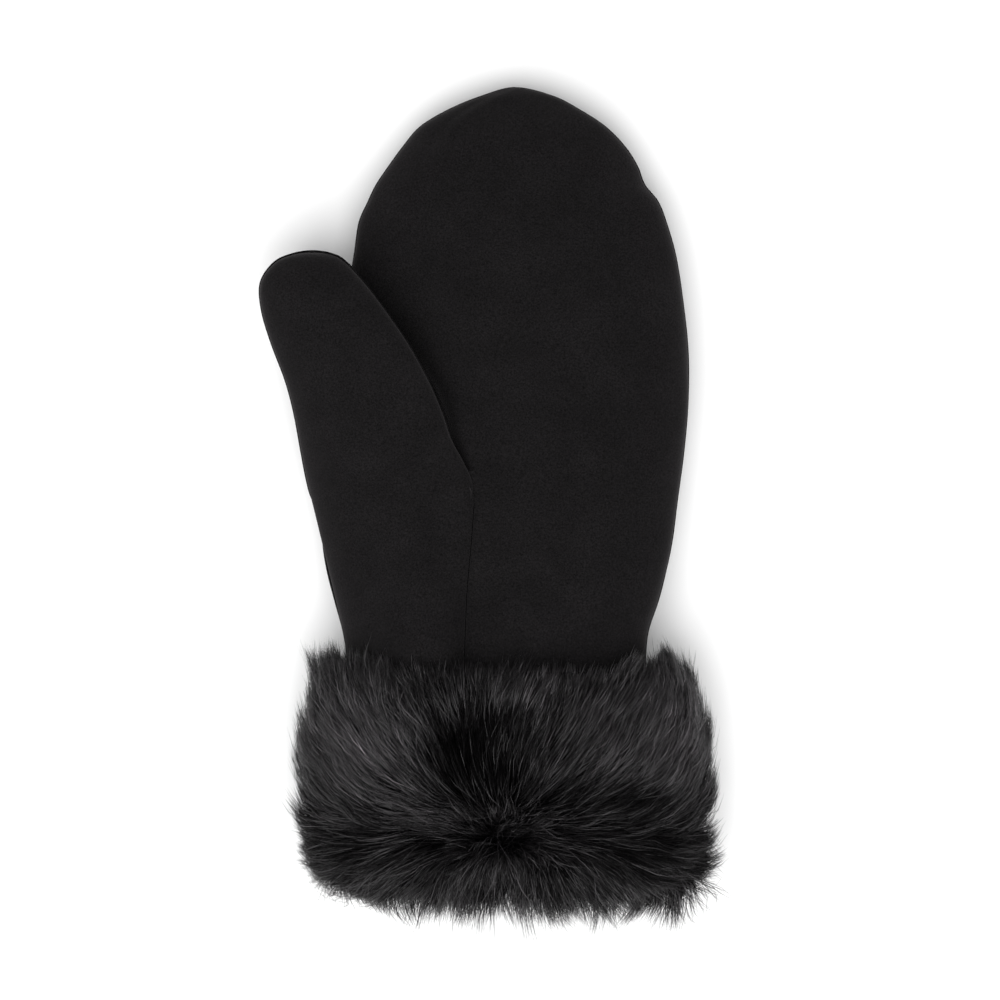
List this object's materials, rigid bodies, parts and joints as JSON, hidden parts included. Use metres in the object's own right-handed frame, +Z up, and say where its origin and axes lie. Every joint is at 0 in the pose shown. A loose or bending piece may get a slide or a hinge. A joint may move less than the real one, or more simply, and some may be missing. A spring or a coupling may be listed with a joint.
{
  "type": "mitten",
  "caption": "Left-hand suede mitten with a deep fur cuff, lying palm up, hollow for a hand, with the thumb lying free over the palm.",
  "frame": {"origin": "under the middle of the whole mitten, on the surface that it lies on", "axes": "+Y from the cuff to the fingertips, +Z up out of the palm, the thumb on the -X side"},
  "size_m": [0.1524, 0.278, 0.0614],
  "materials": {
    "suede": "matte black suede with a fine short nap",
    "fur": "long soft black fur with a grey sheen"
  },
  "bodies": {
    "root": {"back_panel": "suede", "palm_panel": "suede", "thumb_front_panel": "suede", "thumb_back_panel": "suede", "fur_cuff": "fur"}
  },
  "joints": []
}
